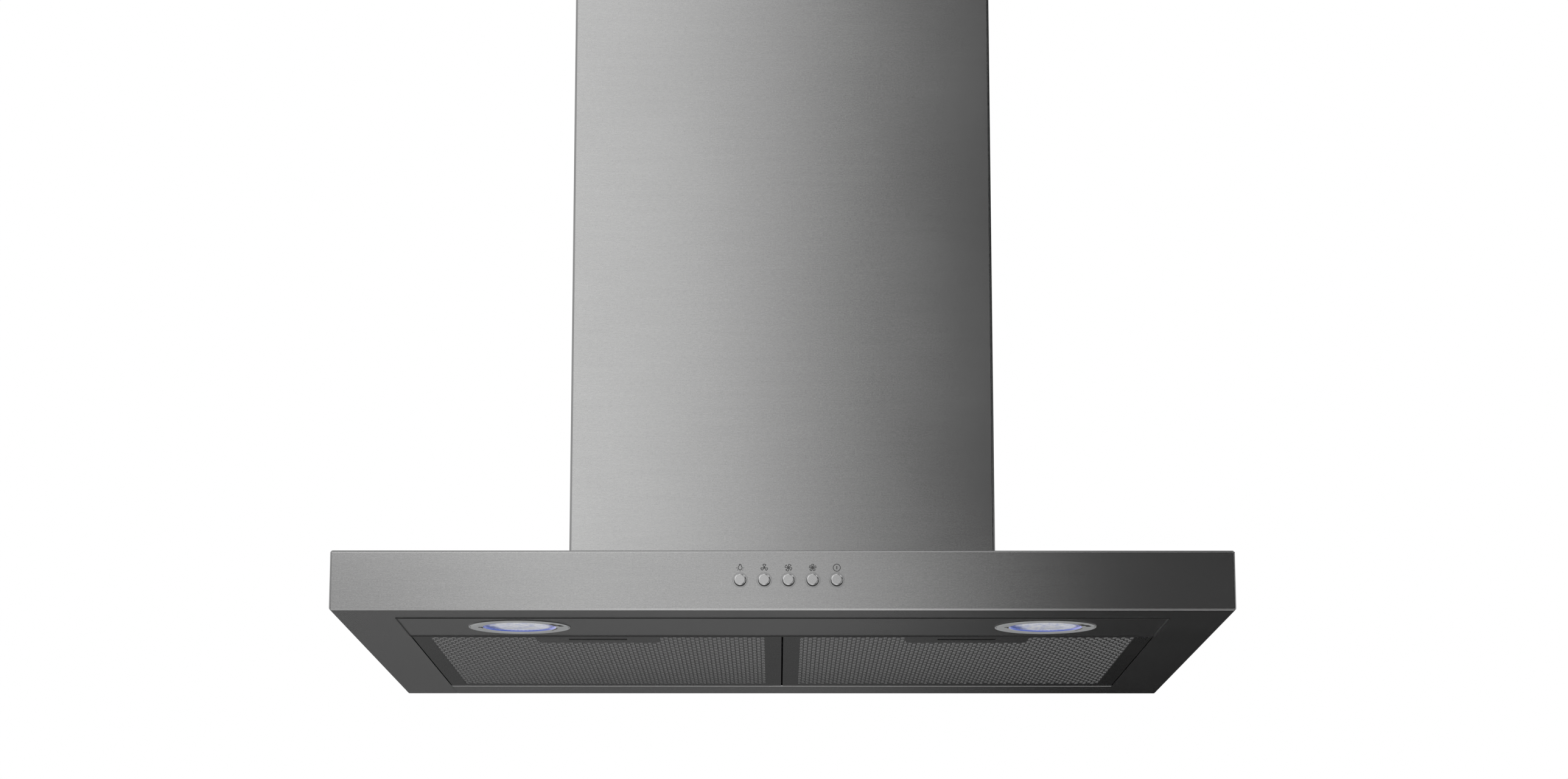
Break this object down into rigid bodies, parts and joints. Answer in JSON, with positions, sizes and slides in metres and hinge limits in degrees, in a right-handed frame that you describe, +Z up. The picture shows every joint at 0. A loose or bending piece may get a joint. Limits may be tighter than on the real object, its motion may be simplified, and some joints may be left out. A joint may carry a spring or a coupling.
{
  "type": "range hood",
  "caption": "Wall range hood: flat box canopy with push buttons, round lamps and drop-down grease filters under a telescopic chimney that hides a centrifugal blower.",
  "frame": {"origin": "on the wall, in the middle of the hood, level with the underside of the canopy", "axes": "+X to the right as the hood is faced, +Y into the wall, +Z up"},
  "size_m": [0.6, 0.504, 0.7007],
  "materials": {
    "hood_steel": "horizontally brushed stainless steel sheet",
    "galvanised_steel": "galvanised steel sheet",
    "filter_aluminium": "satin anodised aluminium",
    "filter_mesh_aluminium": "pleated aluminium wire mesh",
    "handle_steel": "dark satin steel",
    "latch_plastic": "black moulded plastic",
    "spring_steel": "blued spring steel",
    "button_steel": "turned satin steel",
    "sleeve_plastic": "dark grey moulded plastic",
    "switch_plastic": "dark grey moulded plastic",
    "circuit_board": "green circuit board",
    "lamp_ring": "satin silver paint",
    "lamp_glass": "clear fluted glass",
    "reflector": "bright reflector",
    "bulb_glass": "frosted glass capsule",
    "ceramic": "white ceramic",
    "transformer_case": "white moulded plastic",
    "fan_plastic": "black moulded plastic",
    "motor_paint": "grey enamel",
    "copper_winding": "varnished copper winding on a steel core",
    "bright_steel": "ground steel",
    "collar_plastic": "black moulded plastic",
    "flap_plastic": "dark grey moulded plastic",
    "terminal_plastic": "light grey moulded plastic",
    "gland_plastic": "black nylon",
    "capacitor_can": "drawn aluminium can",
    "screw_steel": "zinc-plated steel"
  },
  "bodies": {
    "hood": {"blower_box": "galvanised_steel", "box_screws": "screw_steel", "button_sleeves": "sleeve_plastic", "cable_gland": "gland_plastic", "canopy_back": "galvanised_steel", "canopy_shell": "hood_steel", "capacitor": "capacitor_can", "capacitor_clip": "galvanised_steel", "chimney_lower": "hood_steel", "chimney_screws": "screw_steel", "collar_screws": "screw_steel", "damper_pin": "bright_steel", "duct_collar": "collar_plastic", "lamp_bezel_left": "lamp_ring", "lamp_bezel_right": "lamp_ring", "lamp_bulbs": "bulb_glass", "lamp_lens_left": "lamp_glass", "lamp_lens_right": "lamp_glass", "lamp_panel": "hood_steel", "lamp_reflector_left": "reflector", "lamp_reflector_right": "reflector", "lamp_sockets": "ceramic", "lamp_transformer": "transformer_case", "latch_keeper_left": "spring_steel", "latch_keeper_right": "spring_steel", "motor_bracket": "galvanised_steel", "motor_case": "motor_paint", "motor_cover": "motor_paint", "motor_stator": "copper_winding", "rear_panel": "hood_steel", "scroll_side_left": "galvanised_steel", "scroll_side_right": "galvanised_steel", "scroll_wrap": "galvanised_steel", "switch_board": "circuit_board", "switch_housing": "switch_plastic", "terminal_box": "terminal_plastic", "terminal_lid": "terminal_plastic"},
    "light_button": {"button_light": "button_steel"},
    "low_button": {"button_low": "button_steel"},
    "medium_button": {"button_medium": "button_steel"},
    "high_button": {"button_high": "button_steel"},
    "off_button": {"button_off": "button_steel"},
    "left_filter": {"filter_frame_left": "filter_aluminium", "filter_grid_left": "filter_aluminium", "filter_mesh_left": "filter_mesh_aluminium", "filter_handle_left": "handle_steel"},
    "right_filter": {"filter_frame_right": "filter_aluminium", "filter_grid_right": "filter_aluminium", "filter_mesh_right": "filter_mesh_aluminium", "filter_handle_right": "handle_steel"},
    "left_latch": {"filter_latch_left": "latch_plastic"},
    "right_latch": {"filter_latch_right": "latch_plastic"},
    "fan": {"impeller": "fan_plastic", "motor_shaft": "bright_steel"},
    "front_flap": {"damper_flap_front": "flap_plastic"},
    "rear_flap": {"damper_flap_rear": "flap_plastic"},
    "upper_chimney": {"chimney_upper": "hood_steel", "chimney_bracket": "galvanised_steel", "bracket_screws": "screw_steel"}
  },
  "joints": [
    {"name": "light_button_press", "type": "slide", "parent": "hood", "child": "light_button", "axis": [0, 1, 0], "range_m": [0, 0.003], "stiffness_N_per_m": 300},
    {"name": "low_button_press", "type": "slide", "parent": "hood", "child": "low_button", "axis": [0, 1, 0], "range_m": [0, 0.003], "stiffness_N_per_m": 300},
    {"name": "medium_button_press", "type": "slide", "parent": "hood", "child": "medium_button", "axis": [0, 1, 0], "range_m": [0, 0.003], "stiffness_N_per_m": 300},
    {"name": "high_button_press", "type": "slide", "parent": "hood", "child": "high_button", "axis": [0, 1, 0], "range_m": [0, 0.003], "stiffness_N_per_m": 300},
    {"name": "off_button_press", "type": "slide", "parent": "hood", "child": "off_button", "axis": [0, 1, 0], "range_m": [0, 0.003], "stiffness_N_per_m": 300},
    {"name": "left_filter_swing", "type": "hinge", "parent": "hood", "child": "left_filter", "pos_m": [-0.12995, -0.0506, 0], "axis": [1, 0, 0], "range_deg": [0, 75], "deforming": ["latch_keeper_left"]},
    {"name": "left_latch_pull", "type": "slide", "parent": "left_filter", "child": "left_latch", "axis": [0, 1, 0], "range_m": [0, 0.0035], "stiffness_N_per_m": 400},
    {"name": "right_filter_swing", "type": "hinge", "parent": "hood", "child": "right_filter", "pos_m": [0.12995, -0.0506, 0], "axis": [1, 0, 0], "range_deg": [0, 75], "deforming": ["latch_keeper_right"]},
    {"name": "right_latch_pull", "type": "slide", "parent": "right_filter", "child": "right_latch", "axis": [0, 1, 0], "range_m": [0, 0.0035], "stiffness_N_per_m": 400},
    {"name": "fan_spin", "type": "hinge", "parent": "hood", "child": "fan", "pos_m": [0, -0.1345, 0.1545], "axis": [1, 0, 0], "continuous": true},
    {"name": "front_flap_lift", "type": "hinge", "parent": "hood", "child": "front_flap", "pos_m": [0, -0.09, 0.305], "axis": [-1, 0, 0], "range_deg": [0, 80]},
    {"name": "rear_flap_lift", "type": "hinge", "parent": "hood", "child": "rear_flap", "pos_m": [0, -0.09, 0.305], "axis": [1, 0, 0], "range_deg": [0, 80]},
    {"name": "upper_chimney_slide", "type": "slide", "parent": "hood", "child": "upper_chimney", "axis": [0, 0, 1], "range_m": [-0.12, 0.18]}
  ]
}
